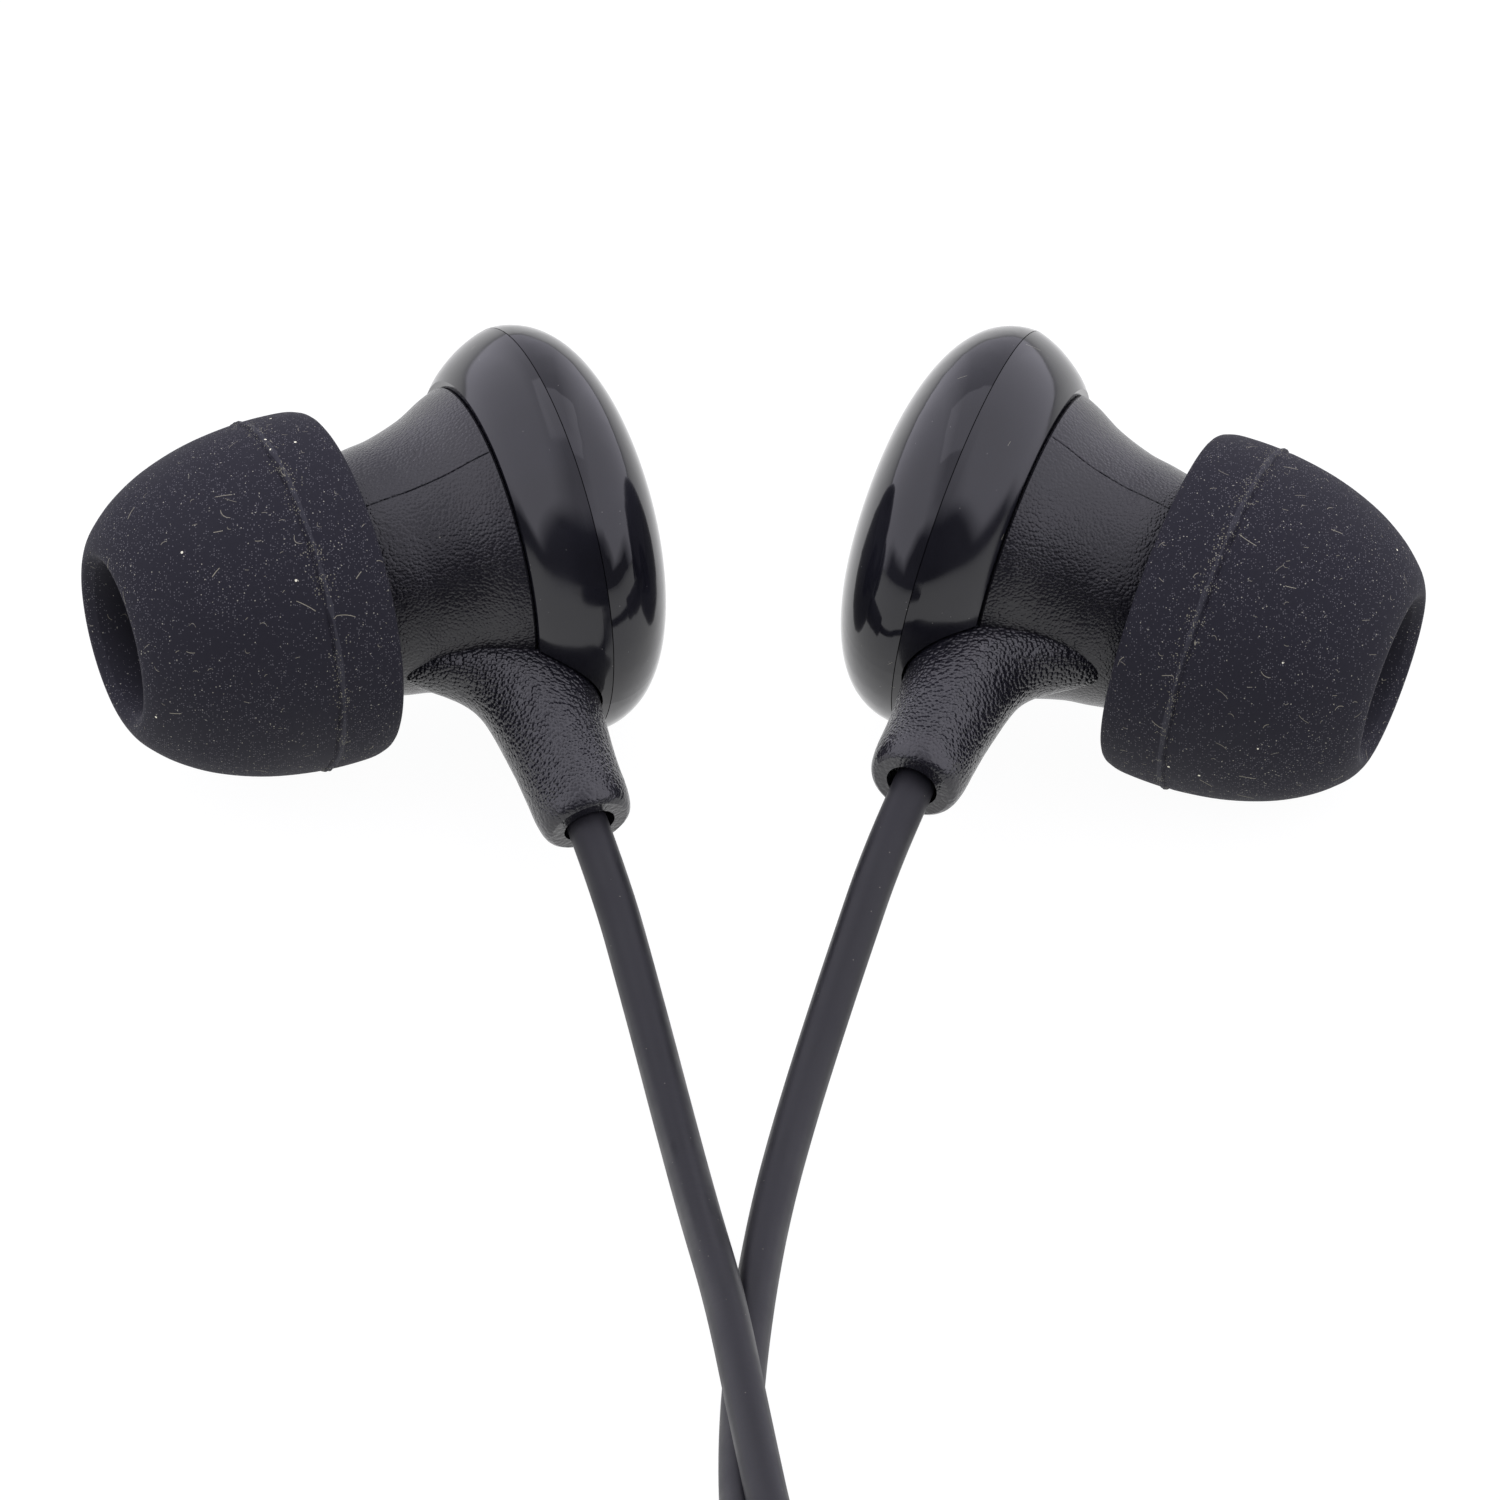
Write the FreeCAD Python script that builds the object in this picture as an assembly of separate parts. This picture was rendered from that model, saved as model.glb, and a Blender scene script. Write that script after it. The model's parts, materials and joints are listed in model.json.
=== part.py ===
"""Wired earphones: two in-ear earphones with silicone tips, their cords, Y split and plug.

Frame: millimetres, +Z up from the surface that everything lies on, +X to the right,
-Y towards the user. The origin is under the middle of the two earphones.

Each earphone is built in its own frame: +Z runs along its axis from the mouth of the
ear tip (z = 0) to the back cover, and +X runs along the stem that the cord leaves by.
"""
import FreeCAD, Part
import math
import os

Vector = FreeCAD.Vector
PARTS_FOLDER = "parts"

# ---- driving dimensions, along the earphone's axis (z) and from it (r) -------------
NOZZLE_FRONT = 2.9          # front face of the nozzle, inside the ear tip
NOZZLE_R = 2.35             # barb at the nozzle's front
NOZZLE_NECK_R = 2.10
NOZZLE_BORE_R = 1.60
BARB_END = 4.6
SHOULDER = 7.85             # where the nozzle meets the funnel
FUNNEL_END = 13.0           # groove between funnel and bezel ring
FUNNEL_END_R = 5.55
SEAM = 15.2                 # fine seam between bezel ring and back cover
SEAM_R = 7.05               # widest radius of the housing
BACK_END = 18.45

TIP_SLEEVE_BORE_R = 2.40    # running clearance of 0.05 on the barb
TIP_SLEEVE_R = 3.10
TIP_SLEEVE_END = 7.5
TIP_MOUTH_R = 2.65
TIP_R = 6.03
TIP_END = 8.15

DRIVER_FRONT = 12.9         # ledge that the driver's gasket rests on
DRIVER_R = 4.55
GASKET_END = 13.05
GRILLE_END = 13.20
BASKET_FLOOR = 14.6
BASKET_END = 15.0
BASKET_BORE_R = 4.25
YOKE_FRONT = 14.35          # the yoke's rim and the top plate's face
TOP_PLATE_END = 14.75
MAGNET_END = 15.45
YOKE_END = 15.95
YOKE_R = 2.85
YOKE_BORE_R = 2.28
TOP_PLATE_R = 1.72
MAGNET_R = 1.65
VOICE_COIL_R = (1.88, 2.10) # inside and outside
VOICE_COIL_Z = (14.02, 15.05)
FILM_THICK = 0.06
BOARD_R = (2.95, 4.4)       # the paper and the board are rings of one size
PAPER_END = 15.08
BOARD_END = 15.38
PAD_X = 3.65                # solder pads on the board, one on each side of the stem's plane
PAD_Y = 0.55
PAD_THICK = 0.12
COLLAR_BORE_R = 4.65        # the driver slides into this collar
COLLAR_R = 5.10
COLLAR_END = 14.1
BEZEL_BORE_R = 5.15
SPIGOT_R = 6.00             # back cover's spigot inside the bezel ring
SPIGOT_SEAT_R = 6.05

STEM_Z = 12.9               # the stem's axis meets the earphone's axis here
STEM_END = 11.3             # distance of the stem's end from the earphone's axis
STEM_MOUTH_R = 0.90
STEM_MOUTH_DEPTH = 0.7
STEM_GAP = 0.10             # gap round the stem where it passes the glossy parts
ANCHOR_SEAT_R = 1.10
ANCHOR_SEAT_END = 8.6
ANCHOR_LENGTH = 1.4

CORD_D = 1.42
MAIN_CORD_D = 1.9
CORD_START = 7.0            # the cord's jacket starts here, measured along the stem
CORD_BORE_R = 0.75
WIRE_R = 0.11

# ---- where the earphones lie ------------------------------------------------------
# seat: middle of the seam circle; heading: turn of the tip towards the user;
# dip: how far the tip points down; droop: how far the stem points down.
LEFT = {"name": "left", "side": -1, "seat": (-7.21, 2.62, 7.05), "heading": 21.0, "dip": 1.0, "droop": 21.0}
RIGHT = {"name": "right", "side": 1, "seat": (7.25, 2.32, 7.40), "heading": 20.2, "dip": 8.5, "droop": 8.5}

# ---- cords ------------------------------------------------------------------------
# Distance along the stem of the first bend, then points on the way to the coil.
LEFT_FIRST_BEND = 12.8
LEFT_ROUTE = [
    (-3.62, -15.2, 0.95),
    (-2.60, -20.8, 0.71),
    (-1.80, -25.9, 2.30),
    (-0.93, -31.2, 5.10),
    (-0.05, -37.5, 5.10),
    (1.00, -43.2, 2.60),
    (2.60, -48.4, 0.80),
    (4.30, -53.0, 0.71),
    (5.30, -57.4, 0.71),
]
RIGHT_FIRST_BEND = 12.9
RIGHT_ROUTE = [
    (2.95, -15.6, 2.95),
    (1.42, -20.6, 1.00),
    (0.49, -25.5, 0.71),
    (-0.15, -31.0, 0.71),
    (-0.50, -36.6, 0.71),
    (-0.35, -42.4, 0.71),
    (0.60, -48.2, 0.71),
    (2.20, -53.4, 0.71),
    (3.40, -57.9, 0.71),
]
MAIN_ROUTE = [
    (7.75, -71.2, 1.50),
    (8.05, -76.1, 1.05),
    (6.80, -80.9, 0.95),
    (3.70, -84.4, 1.45),
    (-0.60, -85.9, 2.75),
    (-5.20, -85.9, 2.75),
]

COIL_CENTRE = (-7.0, -66.0)
COIL_INNER_R = 6.9
COIL_OUTER_R = 15.6
COIL_BOTTOM = 0.55
COIL_TOP = 9.3
COIL_ROUND = 1.6
TIE_THICK = 0.5
TIE_GAP = 0.02
TIE_AT_DEG = 215.0
TIE_SPAN_DEG = 18.0

SPLIT_AT_DEG = 290.0        # place of the Y split on top of the coil
SPLIT_LENGTH = 10.0
SPLIT_WIDTH = 3.6
SPLIT_HEIGHT = 2.8
SPLIT_RADIAL = 10.6         # distance of its middle from the coil's centre
SPLIT_EDGE_R = 1.1
SPLIT_HOLE_OFFSET = 0.78    # the two thin cords enter this far to each side
SPLIT_HOLE_DEPTH = 2.5
CORD_HOLE_GAP = 0.03        # gap round a cord in its moulded hole

PLUG_START_X = -2.8
PLUG_AXIS_Y = -85.9
PLUG_AXIS_Z = 2.75
BOOT_LENGTH = 8.0
SHELL_LENGTH = 12.0
SHELL_R = 2.75
BARREL_LENGTH = 14.0
BARREL_R = 1.75
BARREL_NECK_R = 1.55        # the barrel is thinner where the shell grips it
SLEEVE_LENGTH = 7.6
INSULATOR_LENGTH = 0.6
RING_LENGTH = 2.3


# ---- helpers ------------------------------------------------------------------------
def at(r, z):
    """Point of a turned profile: r from the axis, z along it."""
    return Vector(r, 0, z)


def smooth(points):
    """Edge along a smooth curve through the (r, z) points."""
    curve = Part.BSplineCurve()
    curve.interpolate([at(r, z) for r, z in points])
    return curve.toShape()


def straight(*points):
    """Edges of the straight lines from point to point."""
    return [Part.LineSegment(at(*a), at(*b)).toShape() for a, b in zip(points, points[1:])]


def turned(edges):
    """Solid of revolution about the Z axis of a closed profile."""
    wire = Part.Wire(Part.__sortEdges__(edges))
    return Part.Face(wire).revolve(Vector(0, 0, 0), Vector(0, 0, 1), 360)


def turned_polygon(*points):
    """Solid of revolution of a profile with straight sides."""
    return turned(straight(*points, points[0]))


def ring(inner_r, outer_r, z0, z1):
    """Plain ring about the Z axis."""
    return turned_polygon((inner_r, z0), (outer_r, z0), (outer_r, z1), (inner_r, z1))


def disc(radius, z0, z1):
    """Plain disc about the Z axis."""
    return Part.makeCylinder(radius, z1 - z0, Vector(0, 0, z0))


def holes(radius, z0, z1, rows, pitch):
    """Drills on rings round the axis, with one more in the middle."""
    drills = [Part.makeCylinder(radius, z1 - z0, Vector(0, 0, z0))]
    for row in range(1, rows + 1):
        for step in range(6 * row):
            angle = 2 * math.pi * step / (6 * row)
            place = Vector(row * pitch * math.cos(angle), row * pitch * math.sin(angle), z0)
            drills.append(Part.makeCylinder(radius, z1 - z0, place))
    return drills


def along_stem(radius, x0, x1):
    """Cylinder on the stem's axis from x0 to x1."""
    return Part.makeCylinder(radius, x1 - x0, Vector(x0, 0, STEM_Z), Vector(1, 0, 0))


# ---- outer pieces of one earphone ---------------------------------------------------
def make_ear_tip():
    """Silicone tip: domed skirt, open at its back, round a sleeve that grips the nozzle."""
    outside = [(TIP_MOUTH_R, 0.15), (3.0, -0.16), (3.45, -0.03), (3.95, 0.36), (4.64, 1.2), (5.28, 2.4),
               (5.78, 4.0), (TIP_R, 5.8), (TIP_R, 7.3), (5.9, 7.9), (5.62, TIP_END)]
    inside = [(5.35, 8.05), (5.42, 7.2), (5.42, 5.8), (5.15, 4.2), (4.65, 3.0), (4.0, 2.35), (3.45, 2.2),
              (TIP_SLEEVE_R, 2.7)]
    edges = [smooth(outside), smooth(inside)]
    edges += straight((5.62, TIP_END), (5.35, 8.05))
    edges += straight((TIP_SLEEVE_R, 2.7), (TIP_SLEEVE_R, TIP_SLEEVE_END), (TIP_SLEEVE_BORE_R, TIP_SLEEVE_END),
                      (TIP_SLEEVE_BORE_R, 1.6), (TIP_MOUTH_R, 0.15))
    return turned(edges)


def front_housing_profile():
    """Outside of the nozzle, funnel and collar, from the nozzle's face to the collar's end."""
    funnel = [(4.05, 8.05), (4.28, 9.3), (4.42, 10.2), (4.80, 11.4), (5.28, 12.35), (FUNNEL_END_R, FUNNEL_END)]
    edges = straight((NOZZLE_BORE_R, NOZZLE_FRONT), (2.15, NOZZLE_FRONT), (NOZZLE_R, 3.15), (NOZZLE_R, 4.2),
                     (NOZZLE_NECK_R, BARB_END), (NOZZLE_NECK_R, SHOULDER), (3.85, SHOULDER), (4.05, 8.05))
    edges.append(smooth(funnel))
    edges += straight((FUNNEL_END_R, FUNNEL_END), (COLLAR_R, FUNNEL_END), (COLLAR_R, COLLAR_END))
    return edges


def make_front_housing():
    """Matte funnel with the nozzle in front and the driver's collar behind."""
    edges = front_housing_profile()
    edges += straight((COLLAR_R, COLLAR_END), (COLLAR_BORE_R, COLLAR_END), (COLLAR_BORE_R, DRIVER_FRONT),
                      (4.15, DRIVER_FRONT), (4.15, 12.3), (3.45, 10.6), (3.15, 9.3), (NOZZLE_BORE_R, 8.2),
                      (NOZZLE_BORE_R, NOZZLE_FRONT))
    shell = turned(edges)
    screen_seat = disc(1.95, NOZZLE_FRONT, NOZZLE_FRONT + 0.3)
    wire_slot = Part.makeBox(1.6, 1.6, 2.0, Vector(4.3, -0.8, 12.4))
    return shell.cut(screen_seat).cut(wire_slot)


def make_stem_outside(grow=0.0):
    """Outside of the stem and its saddle: ellipses from under the funnel to the stem's end."""
    # distance from the earphone's axis, front and back of the section along z, half width
    sections = [(4.05, 8.7, 14.55, 1.20), (4.55, 9.35, 14.75, 1.50), (5.1, 10.15, 14.9, 1.72),
                (5.8, 10.72, 14.92, 1.84), (6.8, 11.0, 14.85, 1.86), (8.0, 11.13, 14.72, 1.79),
                (9.5, 11.23, 14.58, 1.67), (10.8, 11.29, 14.51, 1.61), (11.12, 11.38, 14.42, 1.52),
                (STEM_END, 11.56, 14.24, 1.34)]
    rings = []
    for x, front, back, half_width in sections:
        middle = Vector(x, 0, (front + back) / 2)
        long_end = middle + Vector(0, 0, (back - front) / 2 + grow)
        short_end = middle + Vector(0, half_width + grow - 0.001, 0)
        rings.append(Part.Wire(Part.Ellipse(long_end, short_end, middle).toShape()))
    return Part.makeLoft(rings, True)


def make_stem():
    """Stem with its saddle, bored for the cord, the crimp and the lead wires."""
    envelope = front_housing_profile() + straight((COLLAR_R, COLLAR_END), (COLLAR_R, 16.0), (0, 16.0),
                                                  (0, NOZZLE_FRONT), (NOZZLE_BORE_R, NOZZLE_FRONT))
    stem = make_stem_outside().cut(turned(envelope))
    mouth = along_stem(STEM_MOUTH_R, STEM_END - STEM_MOUTH_DEPTH, STEM_END + 1)
    bore = along_stem(CORD_BORE_R, 4.0, STEM_END + 1)
    anchor_seat = along_stem(ANCHOR_SEAT_R, 4.0, ANCHOR_SEAT_END)
    return largest(stem.cut(mouth).cut(bore).cut(anchor_seat))


def largest(shape):
    """The largest solid of a shape, without crumbs that a cut may leave."""
    return max(shape.Solids, key=lambda solid: solid.Volume)


def make_bezel_ring():
    """Glossy ring behind the funnel, notched for the stem."""
    outside = [(5.72, 13.04), (6.02, 13.3), (6.42, 13.8), (6.82, 14.5), (SEAM_R, SEAM - 0.03)]
    edges = [smooth(outside)]
    edges += straight((SEAM_R, SEAM - 0.03), (SPIGOT_SEAT_R, SEAM - 0.03), (SPIGOT_SEAT_R, COLLAR_END),
                      (BEZEL_BORE_R, COLLAR_END), (BEZEL_BORE_R, 13.04), (5.72, 13.04))
    return largest(turned(edges).cut(make_stem_outside(STEM_GAP)))


def make_back_cover():
    """Glossy domed cap with a spigot that fits inside the bezel ring."""
    outside = [(SEAM_R, SEAM), (6.95, 16.0), (6.52, 16.8), (5.85, 17.4), (4.80, 17.92), (3.40, 18.28),
               (1.8, 18.42), (0, BACK_END)]
    inside = [(5.45, 16.2), (5.0, 16.8), (4.0, 17.3), (2.5, 17.58), (0, 17.65)]
    edges = [smooth(outside), smooth(inside)]
    edges += straight((0, BACK_END), (0, 17.65))
    edges += straight((5.45, 16.2), (5.45, COLLAR_END + 0.1), (SPIGOT_R, COLLAR_END + 0.1), (SPIGOT_R, SEAM),
                      (SEAM_R, SEAM))
    return largest(turned(edges).cut(make_stem_outside(STEM_GAP)))


def make_nozzle_screen():
    """Perforated metal disc in the nozzle's mouth."""
    screen = disc(1.93, NOZZLE_FRONT + 0.1, NOZZLE_FRONT + 0.28)
    for drill in holes(0.14, NOZZLE_FRONT, NOZZLE_FRONT + 0.5, 4, 0.42):
        screen = screen.cut(drill)
    return screen


# ---- the driver ---------------------------------------------------------------------
def make_driver_gasket():
    """Foam ring between the housing's ledge and the driver."""
    return ring(BASKET_BORE_R - 0.05, DRIVER_R, DRIVER_FRONT, GASKET_END)


def make_driver_grille():
    """Perforated plate that protects the diaphragm."""
    plate = disc(DRIVER_R, GASKET_END, GRILLE_END)
    for drill in holes(0.30, DRIVER_FRONT, BASKET_FLOOR, 3, 1.05):
        plate = plate.cut(drill)
    return plate


def make_driver_frame():
    """Basket: rim for the grille, vented floor, and a seat for the yoke."""
    yoke_seat_r = YOKE_R + 0.05
    vent_circle_r = 3.6
    frame = turned_polygon((BASKET_BORE_R, GRILLE_END), (DRIVER_R, GRILLE_END), (DRIVER_R, BASKET_END),
                           (yoke_seat_r, BASKET_END), (yoke_seat_r, BASKET_FLOOR), (BASKET_BORE_R, BASKET_FLOOR))
    for step in range(6):
        angle = math.radians(60 * step + 30)
        place = Vector(vent_circle_r * math.cos(angle), vent_circle_r * math.sin(angle), BASKET_FLOOR - 0.2)
        frame = frame.cut(Part.makeCylinder(0.35, 0.8, place))
    return frame


def make_diaphragm():
    """Thin film: dome in the middle, a valley at the coil, and a rolled surround."""
    front = [(0, 13.62), (1.0, 13.68), (1.95, 13.95), (2.6, 13.85), (3.3, 13.68), (4.0, 13.92)]
    back = [(r, z + FILM_THICK) for r, z in front]
    edges = [smooth(front), smooth(back)]
    edges += straight(front[0], back[0])
    edges += straight(front[-1], back[-1])
    return turned(edges)


def make_voice_coil():
    """Wound ring that hangs from the diaphragm in the magnet's gap."""
    return ring(*VOICE_COIL_R, *VOICE_COIL_Z)


def make_top_plate():
    """Steel disc on the magnet."""
    return disc(TOP_PLATE_R, YOKE_FRONT, TOP_PLATE_END)


def make_magnet():
    """Disc magnet on the yoke's floor."""
    return disc(MAGNET_R, TOP_PLATE_END, MAGNET_END)


def make_yoke():
    """Steel cup round the magnet."""
    return turned_polygon((YOKE_BORE_R, YOKE_FRONT), (YOKE_R, YOKE_FRONT), (YOKE_R, YOKE_END), (0, YOKE_END),
                          (0, MAGNET_END), (YOKE_BORE_R, MAGNET_END))


def make_damping_ring():
    """Acoustic paper over the frame's vents."""
    return ring(*BOARD_R, BASKET_END, PAPER_END)


def make_terminal_board():
    """Ring-shaped board with two solder pads on its back."""
    board = ring(*BOARD_R, PAPER_END, BOARD_END)
    for y in (-PAD_Y, PAD_Y):
        pad = Part.makeCylinder(0.36, PAD_THICK, Vector(PAD_X, y, BOARD_END))
        board = board.fuse(pad)
    return board


def make_lead_wires():
    """Two enamelled wires from the end of the cord's jacket to the solder pads."""
    wires = []
    half_gap = 0.3              # half the distance between the wires in the stem
    rise_x = 4.92               # they rise in the collar's slot
    over_z = 15.9               # and pass over the board's edge
    for side in (-1, 1):
        y = side * half_gap
        pad_y = side * PAD_Y
        path = rounded_path([Vector(CORD_START, y, STEM_Z), Vector(rise_x, y, STEM_Z),
                             Vector(rise_x, y, over_z), Vector(PAD_X, pad_y, over_z),
                             Vector(PAD_X, pad_y, BOARD_END + PAD_THICK + 0.02)])
        wires.append(tube(path, WIRE_R))
    return Part.makeCompound(wires)


def make_cord_anchor():
    """Crimp on the end of the cord, too wide for the stem's bore."""
    outside = along_stem(ANCHOR_SEAT_R - 0.05, ANCHOR_SEAT_END - ANCHOR_LENGTH, ANCHOR_SEAT_END)
    return outside.cut(along_stem(CORD_D / 2, ANCHOR_SEAT_END - ANCHOR_LENGTH - 1, ANCHOR_SEAT_END + 1))


# ---- cords --------------------------------------------------------------------------
def rounded_path(points):
    """Wire of straight runs joined by arcs, each as large as its two runs allow."""
    edges = []
    start = points[0]
    for before, corner, after in zip(points, points[1:], points[2:]):
        incoming = (corner - before).normalize()
        outgoing = (after - corner).normalize()
        half_turn = math.acos(max(-1, min(1, incoming.dot(outgoing)))) / 2
        setback = 0.45 * min((corner - before).Length, (after - corner).Length)
        radius = setback / math.tan(half_turn)
        inwards = (outgoing - incoming).normalize()
        arc_start = corner - incoming * setback
        arc_end = corner + outgoing * setback
        arc_middle = corner + inwards * (radius / math.cos(half_turn) - radius)
        edges.append(Part.LineSegment(start, arc_start).toShape())
        edges.append(Part.Arc(arc_start, arc_middle, arc_end).toShape())
        start = arc_end
    edges.append(Part.LineSegment(start, points[-1]).toShape())
    return Part.Wire(edges)


def tube(path, radius):
    """Round solid along a path."""
    first = path.Edges[0]
    start = first.valueAt(first.FirstParameter)
    heading = first.tangentAt(first.FirstParameter)
    section = Part.Wire(Part.Circle(start, heading, radius).toShape())
    return path.makePipeShell([section], True, True)


def make_cord(name, points, diameter):
    """Cord along a route, with its tightest radius and its volume printed as a check."""
    path = rounded_path(points)
    cord = tube(path, diameter / 2)
    radii = [edge.Curve.Radius for edge in path.Edges if hasattr(edge.Curve, "Radius")]
    expected = math.pi * (diameter / 2) ** 2 * path.Length
    print(f"{name}: length {path.Length:.1f}, radii {[round(r, 1) for r in radii]}, "
          f"volume {cord.Volume / expected:.3f} of section times length")
    return cord


def earphone_placement(pose):
    """Placement that carries an earphone from its own frame to where it lies."""
    heading, dip, droop = (math.radians(pose[key]) for key in ("heading", "dip", "droop"))
    side = pose["side"]
    tip = Vector(side * math.cos(heading) * math.cos(dip), -math.sin(heading) * math.cos(dip), -math.sin(dip))
    level = Vector(-side * math.sin(heading), -math.cos(heading), 0)
    down = tip.cross(level) * side
    stem = level * math.cos(droop) + down * math.sin(droop)
    back = tip * -1
    across = back.cross(stem)
    origin = Vector(*pose["seat"]) - back * SEAM
    matrix = FreeCAD.Matrix(stem.x, across.x, back.x, origin.x,
                            stem.y, across.y, back.y, origin.y,
                            stem.z, across.z, back.z, origin.z,
                            0, 0, 0, 1)
    return FreeCAD.Placement(matrix)


def cord_points(placement, first_bend, route):
    """Route of an earphone's cord: along its stem, then over the surface."""
    start = placement.multVec(Vector(CORD_START, 0, STEM_Z))
    bend = placement.multVec(Vector(first_bend, 0, STEM_Z))
    return [start, bend] + [Vector(*point) for point in route]


def make_coil():
    """Outer shape of the put-away turns, lying flat."""
    block = ring(COIL_INNER_R, COIL_OUTER_R, COIL_BOTTOM, COIL_TOP)
    edges = [edge for edge in block.Edges if hasattr(edge.Curve, "Radius")]
    block = block.makeFillet(COIL_ROUND, edges)
    block.translate(Vector(*COIL_CENTRE, 0))
    return block


def make_tie():
    """Band round the coil's bundle."""
    height = COIL_TOP - COIL_BOTTOM
    width = COIL_OUTER_R - COIL_INNER_R
    inside, outside = [rounded_rectangle(width + 2 * grow, height + 2 * grow, COIL_ROUND + grow)
                       for grow in (TIE_GAP, TIE_THICK)]
    section = outside.cut(inside)
    section.translate(Vector((COIL_INNER_R + COIL_OUTER_R) / 2, 0, (COIL_TOP + COIL_BOTTOM) / 2))
    band = section.Faces[0].revolve(Vector(0, 0, 0), Vector(0, 0, 1), TIE_SPAN_DEG)
    band.rotate(Vector(0, 0, 0), Vector(0, 0, 1), TIE_AT_DEG - TIE_SPAN_DEG / 2)
    band.translate(Vector(*COIL_CENTRE, 0))
    return band


def rounded_rectangle(width, height, radius):
    """Flat face in the XZ plane with round corners, centred on the origin."""
    a = width / 2
    b = height / 2
    k = radius * (1 - math.sqrt(0.5))
    corners = [(a, b), (-a, b), (-a, -b), (a, -b)]
    edges = []
    starts = []
    for x, z in corners:
        sx = math.copysign(1, x)
        sz = math.copysign(1, z)
        on_side = Vector(x, 0, z - sz * radius)
        on_top = Vector(x - sx * radius, 0, z)
        edges.append(Part.Arc(on_side, Vector(x - sx * k, 0, z - sz * k), on_top).toShape())
        starts.append((on_side, on_top))
    (a_side, a_top), (b_side, b_top), (c_side, c_top), (d_side, d_top) = starts
    for start, end in ((a_top, b_top), (b_side, c_side), (c_top, d_top), (d_side, a_side)):
        edges.append(Part.LineSegment(start, end).toShape())
    return Part.Face(Part.Wire(Part.__sortEdges__(edges)))


def make_split():
    """Moulded piece where both cords join the main cord, lying on the coil."""
    half = SPLIT_LENGTH / 2
    axis_z = SPLIT_HEIGHT / 2
    along = Vector(1, 0, 0)
    body = Part.makeBox(SPLIT_LENGTH, SPLIT_WIDTH, SPLIT_HEIGHT, Vector(-half, -SPLIT_WIDTH / 2, 0))
    lengthwise = [edge for edge in body.Edges if abs(edge.tangentAt(0).x) > 0.9]
    body = body.makeFillet(SPLIT_EDGE_R, lengthwise)
    thin_hole = CORD_D / 2 + CORD_HOLE_GAP
    for y in (-SPLIT_HOLE_OFFSET, SPLIT_HOLE_OFFSET):
        body = body.cut(Part.makeCylinder(thin_hole, SPLIT_HOLE_DEPTH, Vector(-half, y, axis_z), along))
    main_hole = MAIN_CORD_D / 2 + CORD_HOLE_GAP
    main_hole_start = Vector(half - SPLIT_HOLE_DEPTH, 0, axis_z)
    body = body.cut(Part.makeCylinder(main_hole, SPLIT_HOLE_DEPTH, main_hole_start, along))
    body.rotate(Vector(0, 0, 0), Vector(0, 0, 1), SPLIT_AT_DEG - 90)
    angle = math.radians(SPLIT_AT_DEG)
    body.translate(Vector(COIL_CENTRE[0] + SPLIT_RADIAL * math.cos(angle),
                          COIL_CENTRE[1] + SPLIT_RADIAL * math.sin(angle), COIL_TOP))
    return body


# ---- plug, along +Z from its cord end ------------------------------------------------
SHELL_END = BOOT_LENGTH + SHELL_LENGTH
SHELL_WALL = 0.6
SHELL_FLOOR = 1.2           # thickness of the shell's front wall, which grips the barrel
BARREL_START = SHELL_END + 0.05
SLEEVE_END = SHELL_END + SLEEVE_LENGTH
RING_START = SLEEVE_END + INSULATOR_LENGTH
RING_END = RING_START + RING_LENGTH
TIP_START = RING_END + INSULATOR_LENGTH
PLUG_TIP_END = SHELL_END + BARREL_LENGTH
FLANGE_R = 2.10
FLANGE_SETBACK = 3.0        # how far each contact and its insulation run back inside the shell
REAR_INSULATION_SETBACK = 4.0
RING_SETBACK = 4.5
FRONT_INSULATION_SETBACK = 5.0
ROD_SETBACK = 6.0
SLEEVE_BORE_R = 1.30
RING_TUBE_R = 1.05
RING_BORE_R = 0.82
TIP_ROD_R = 0.50
INSULATION_GAP = 0.02


def make_plug_boot():
    """Soft tapered strain relief with a neck inside the shell."""
    cord_hole = MAIN_CORD_D / 2 + CORD_HOLE_GAP
    thin_end = (1.35, 0)
    thick_end = (2.35, BOOT_LENGTH)
    neck_end = BOOT_LENGTH + 2.0
    edges = [smooth([thin_end, (1.5, 2.0), (1.85, 5.0), thick_end])]
    edges += straight(thick_end, (FLANGE_R, BOOT_LENGTH), (FLANGE_R, neck_end), (cord_hole, neck_end),
                      (cord_hole, 0), thin_end)
    return turned(edges)


def make_plug_shell():
    """Round grip, hollow, closed in front round the barrel's neck."""
    bore = SHELL_R - SHELL_WALL
    neck_hole = BARREL_NECK_R + INSULATION_GAP
    return turned_polygon((SHELL_R - 0.3, BOOT_LENGTH), (SHELL_R, BOOT_LENGTH + 0.3), (SHELL_R, SHELL_END - 0.4),
                          (SHELL_R - 0.4, SHELL_END), (neck_hole, SHELL_END),
                          (neck_hole, SHELL_END - SHELL_FLOOR), (bore, SHELL_END - SHELL_FLOOR),
                          (bore, BOOT_LENGTH))


def make_plug_sleeve():
    """Rear contact: tube with a neck and a flange inside the shell."""
    flange_start = SHELL_END - FLANGE_SETBACK
    flange_end = SHELL_END - SHELL_FLOOR - 0.05
    return turned_polygon((SLEEVE_BORE_R, flange_start), (FLANGE_R, flange_start), (FLANGE_R, flange_end),
                          (BARREL_NECK_R, flange_end), (BARREL_NECK_R, BARREL_START), (BARREL_R, BARREL_START),
                          (BARREL_R, SLEEVE_END), (SLEEVE_BORE_R, SLEEVE_END))


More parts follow.
